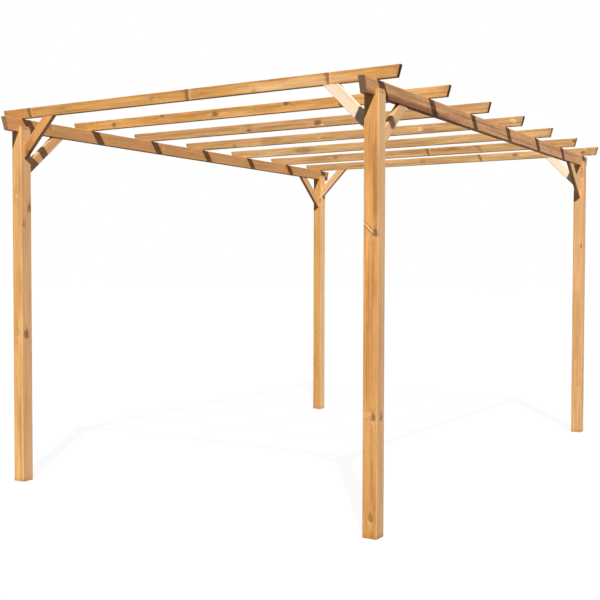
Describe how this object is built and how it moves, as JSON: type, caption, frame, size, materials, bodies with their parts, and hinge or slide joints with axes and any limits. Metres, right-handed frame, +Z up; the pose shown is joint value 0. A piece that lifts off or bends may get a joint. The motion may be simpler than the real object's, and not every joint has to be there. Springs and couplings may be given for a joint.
{
  "type": "wooden pergola",
  "caption": "Free-standing open garden pergola: square posts with forked tops carry two long beams, with slanted-end rafters laid across them and knee braces in the corners.",
  "frame": {"origin": "middle of the plan at floor level, under the centre of the roof", "axes": "+X along the rafters, from the left side to the right; +Y along the beams, from front to back; +Z up"},
  "size_m": [3.1, 4.5, 2.622],
  "materials": {
    "post_timber": "planed softwood under a honey-brown stain, straight grain with dark knots",
    "beam_timber": "planed softwood under a reddish-brown stain",
    "rafter_timber": "planed softwood under a honey-brown stain, with dark knots",
    "brace_timber": "planed softwood under a thin honey-brown stain",
    "screw_steel": "countersunk steel screws with a yellow-brown coating"
  },
  "bodies": {
    "root": {"post_front_left": "post_timber", "post_front_right": "post_timber", "post_back_left": "post_timber", "post_back_right": "post_timber", "beam_left": "beam_timber", "beam_right": "beam_timber", "rafter_1": "rafter_timber", "rafter_2": "rafter_timber", "rafter_3": "rafter_timber", "rafter_4": "rafter_timber", "rafter_5": "rafter_timber", "rafter_6": "rafter_timber", "rafter_7": "rafter_timber", "cross_brace_front_left": "brace_timber", "cross_brace_front_right": "brace_timber", "cross_brace_back_left": "brace_timber", "cross_brace_back_right": "brace_timber", "side_brace_front_left": "brace_timber", "side_brace_front_right": "brace_timber", "side_brace_back_left": "brace_timber", "side_brace_back_right": "brace_timber"}
  },
  "joints": []
}
